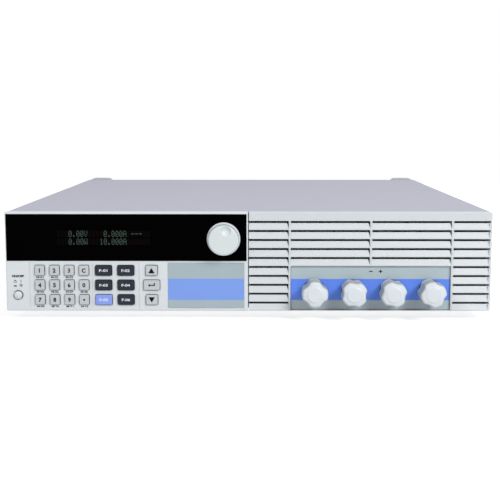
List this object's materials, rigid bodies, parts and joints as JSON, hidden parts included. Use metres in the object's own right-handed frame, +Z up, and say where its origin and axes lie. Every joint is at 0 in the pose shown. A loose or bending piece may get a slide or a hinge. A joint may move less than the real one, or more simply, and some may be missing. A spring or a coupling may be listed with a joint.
{
  "type": "dc electronic load",
  "caption": "Full-width bench electronic load with keypad, display and adjusting dial on the left, louvred air intake on the right and fluted screw terminals; keys, dial, knobs and fans move.",
  "frame": {"origin": "middle of the outline, on the plane that the bench feet rest on", "axes": "+X to the right as seen from the front, +Y from the front panel to the rear, +Z up"},
  "size_m": [0.428, 0.4952, 0.0978],
  "materials": {
    "cover_paint": "fine satin paint",
    "panel_paint": "fine satin paint",
    "steel": "zinc plated",
    "screw_steel": "bright zinc",
    "front_moulding": "fine texture",
    "lens": "polished",
    "stripe_film": "printed film",
    "dark_rubber": "matte",
    "circuit_board": "solder mask",
    "display_glass": "glass",
    "black_plastic": "moulded",
    "dark_paint": "matt black",
    "heat_sink": "black anodised",
    "copper": "bare copper",
    "brass": "turned",
    "iron_core": "varnished laminations",
    "connector": "moulded",
    "corner_foot": "fine texture",
    "dial_plastic": "satin",
    "knob_plastic": "satin",
    "key_pale": "satin",
    "key_dark": "satin",
    "key_blue": "satin"
  },
  "bodies": {
    "chassis": {"base_tray": "steel", "top_cover": "cover_paint", "front_subpanel": "dark_paint", "rear_panel": "panel_paint", "control_bezel": "front_moulding", "grille_bezel": "front_moulding", "display_lens": "lens", "stripe_label": "stripe_film", "terminal_plate": "stripe_film", "key_mat": "dark_rubber", "control_board": "circuit_board", "display_module": "display_glass", "encoder": "steel", "power_switch": "black_plastic", "heat_sinks": "heat_sink", "power_transistors": "black_plastic", "load_board": "circuit_board", "bus_bars": "copper", "terminal_posts": "brass", "transformer": "iron_core", "fan_frames": "black_plastic", "mains_inlet": "black_plastic", "rear_connectors": "connector", "bench_feet": "dark_rubber", "rear_feet": "corner_foot", "screws_and_nuts": "screw_steel"},
    "dial": {"dial": "dial_plastic", "encoder_shaft": "steel"},
    "power_button": {"power_button": "dial_plastic"},
    "fan_rotor_1": {"fan_rotor_1": "black_plastic"},
    "fan_rotor_2": {"fan_rotor_2": "black_plastic"},
    "clamp_ring_1": {"clamp_ring_1": "knob_plastic"},
    "terminal_knob_1": {"terminal_knob_1": "knob_plastic"},
    "clamp_ring_2": {"clamp_ring_2": "knob_plastic"},
    "terminal_knob_2": {"terminal_knob_2": "knob_plastic"},
    "clamp_ring_3": {"clamp_ring_3": "knob_plastic"},
    "terminal_knob_3": {"terminal_knob_3": "knob_plastic"},
    "clamp_ring_4": {"clamp_ring_4": "knob_plastic"},
    "terminal_knob_4": {"terminal_knob_4": "knob_plastic"},
    "key_1": {"key_1": "key_pale"},
    "key_2": {"key_2": "key_pale"},
    "key_3": {"key_3": "key_pale"},
    "key_esc": {"key_esc": "key_pale"},
    "key_4": {"key_4": "key_pale"},
    "key_5": {"key_5": "key_pale"},
    "key_6": {"key_6": "key_pale"},
    "key_0": {"key_0": "key_pale"},
    "key_7": {"key_7": "key_pale"},
    "key_8": {"key_8": "key_pale"},
    "key_9": {"key_9": "key_pale"},
    "key_dot": {"key_dot": "key_pale"},
    "function_key_1": {"function_key_1": "key_dark"},
    "function_key_2": {"function_key_2": "key_dark"},
    "function_key_3": {"function_key_3": "key_dark"},
    "function_key_4": {"function_key_4": "key_dark"},
    "function_key_5": {"function_key_5": "key_blue"},
    "function_key_6": {"function_key_6": "key_dark"},
    "key_up": {"key_up": "key_pale"},
    "key_enter": {"key_enter": "key_pale"},
    "key_down": {"key_down": "key_pale"}
  },
  "joints": [
    {"name": "dial_turn", "type": "hinge", "parent": "chassis", "child": "dial", "pos_m": [-0.02175, -0.2254, 0.07215], "axis": [0, -1, 0], "continuous": true},
    {"name": "power_press", "type": "slide", "parent": "chassis", "child": "power_button", "axis": [0, 1, 0], "range_m": [0, 0.002], "stiffness_N_per_m": 1500},
    {"name": "fan_1_spin", "type": "hinge", "parent": "chassis", "child": "fan_rotor_1", "pos_m": [0.04965, 0.2136, 0.052], "axis": [0, 1, 0], "continuous": true},
    {"name": "fan_2_spin", "type": "hinge", "parent": "chassis", "child": "fan_rotor_2", "pos_m": [0.13965, 0.2136, 0.052], "axis": [0, 1, 0], "continuous": true},
    {"name": "ring_1_lift", "type": "slide", "parent": "chassis", "child": "clamp_ring_1", "axis": [0, -1, 0], "range_m": [0, 0.005]},
    {"name": "knob_1_turn", "type": "hinge", "parent": "clamp_ring_1", "child": "terminal_knob_1", "pos_m": [0.05792, -0.2354, 0.0258], "axis": [0, -1, 0], "range_deg": [0, 1440]},
    {"name": "ring_2_lift", "type": "slide", "parent": "chassis", "child": "clamp_ring_2", "axis": [0, -1, 0], "range_m": [0, 0.005]},
    {"name": "knob_2_turn", "type": "hinge", "parent": "clamp_ring_2", "child": "terminal_knob_2", "pos_m": [0.09202, -0.2354, 0.0258], "axis": [0, -1, 0], "range_deg": [0, 1440]},
    {"name": "ring_3_lift", "type": "slide", "parent": "chassis", "child": "clamp_ring_3", "axis": [0, -1, 0], "range_m": [0, 0.005]},
    {"name": "knob_3_turn", "type": "hinge", "parent": "clamp_ring_3", "child": "terminal_knob_3", "pos_m": [0.12612, -0.2354, 0.0258], "axis": [0, -1, 0], "range_deg": [0, 1440]},
    {"name": "ring_4_lift", "type": "slide", "parent": "chassis", "child": "clamp_ring_4", "axis": [0, -1, 0], "range_m": [0, 0.005]},
    {"name": "knob_4_turn", "type": "hinge", "parent": "clamp_ring_4", "child": "terminal_knob_4", "pos_m": [0.16023, -0.2354, 0.0258], "axis": [0, -1, 0], "range_deg": [0, 1440]},
    {"name": "key_1_press", "type": "slide", "parent": "chassis", "child": "key_1", "axis": [0, 1, 0], "range_m": [0, 0.0012], "stiffness_N_per_m": 800},
    {"name": "key_2_press", "type": "slide", "parent": "chassis", "child": "key_2", "axis": [0, 1, 0], "range_m": [0, 0.0012], "stiffness_N_per_m": 800},
    {"name": "key_3_press", "type": "slide", "parent": "chassis", "child": "key_3", "axis": [0, 1, 0], "range_m": [0, 0.0012], "stiffness_N_per_m": 800},
    {"name": "key_esc_press", "type": "slide", "parent": "chassis", "child": "key_esc", "axis": [0, 1, 0], "range_m": [0, 0.0012], "stiffness_N_per_m": 800},
    {"name": "key_4_press", "type": "slide", "parent": "chassis", "child": "key_4", "axis": [0, 1, 0], "range_m": [0, 0.0012], "stiffness_N_per_m": 800},
    {"name": "key_5_press", "type": "slide", "parent": "chassis", "child": "key_5", "axis": [0, 1, 0], "range_m": [0, 0.0012], "stiffness_N_per_m": 800},
    {"name": "key_6_press", "type": "slide", "parent": "chassis", "child": "key_6", "axis": [0, 1, 0], "range_m": [0, 0.0012], "stiffness_N_per_m": 800},
    {"name": "key_0_press", "type": "slide", "parent": "chassis", "child": "key_0", "axis": [0, 1, 0], "range_m": [0, 0.0012], "stiffness_N_per_m": 800},
    {"name": "key_7_press", "type": "slide", "parent": "chassis", "child": "key_7", "axis": [0, 1, 0], "range_m": [0, 0.0012], "stiffness_N_per_m": 800},
    {"name": "key_8_press", "type": "slide", "parent": "chassis", "child": "key_8", "axis": [0, 1, 0], "range_m": [0, 0.0012], "stiffness_N_per_m": 800},
    {"name": "key_9_press", "type": "slide", "parent": "chassis", "child": "key_9", "axis": [0, 1, 0], "range_m": [0, 0.0012], "stiffness_N_per_m": 800},
    {"name": "key_dot_press", "type": "slide", "parent": "chassis", "child": "key_dot", "axis": [0, 1, 0], "range_m": [0, 0.0012], "stiffness_N_per_m": 800},
    {"name": "function_key_1_press", "type": "slide", "parent": "chassis", "child": "function_key_1", "axis": [0, 1, 0], "range_m": [0, 0.0012], "stiffness_N_per_m": 800},
    {"name": "function_key_2_press", "type": "slide", "parent": "chassis", "child": "function_key_2", "axis": [0, 1, 0], "range_m": [0, 0.0012], "stiffness_N_per_m": 800},
    {"name": "function_key_3_press", "type": "slide", "parent": "chassis", "child": "function_key_3", "axis": [0, 1, 0], "range_m": [0, 0.0012], "stiffness_N_per_m": 800},
    {"name": "function_key_4_press", "type": "slide", "parent": "chassis", "child": "function_key_4", "axis": [0, 1, 0], "range_m": [0, 0.0012], "stiffness_N_per_m": 800},
    {"name": "function_key_5_press", "type": "slide", "parent": "chassis", "child": "function_key_5", "axis": [0, 1, 0], "range_m": [0, 0.0012], "stiffness_N_per_m": 800},
    {"name": "function_key_6_press", "type": "slide", "parent": "chassis", "child": "function_key_6", "axis": [0, 1, 0], "range_m": [0, 0.0012], "stiffness_N_per_m": 800},
    {"name": "key_up_press", "type": "slide", "parent": "chassis", "child": "key_up", "axis": [0, 1, 0], "range_m": [0, 0.0012], "stiffness_N_per_m": 800},
    {"name": "key_enter_press", "type": "slide", "parent": "chassis", "child": "key_enter", "axis": [0, 1, 0], "range_m": [0, 0.0012], "stiffness_N_per_m": 800},
    {"name": "key_down_press", "type": "slide", "parent": "chassis", "child": "key_down", "axis": [0, 1, 0], "range_m": [0, 0.0012], "stiffness_N_per_m": 800}
  ],
  "couplings": [
    {"joint": "knob_1_turn", "follows": "ring_1_lift", "rad_per_m": 5026.5},
    {"joint": "knob_2_turn", "follows": "ring_2_lift", "rad_per_m": 5026.5},
    {"joint": "knob_3_turn", "follows": "ring_3_lift", "rad_per_m": 5026.5},
    {"joint": "knob_4_turn", "follows": "ring_4_lift", "rad_per_m": 5026.5}
  ]
}
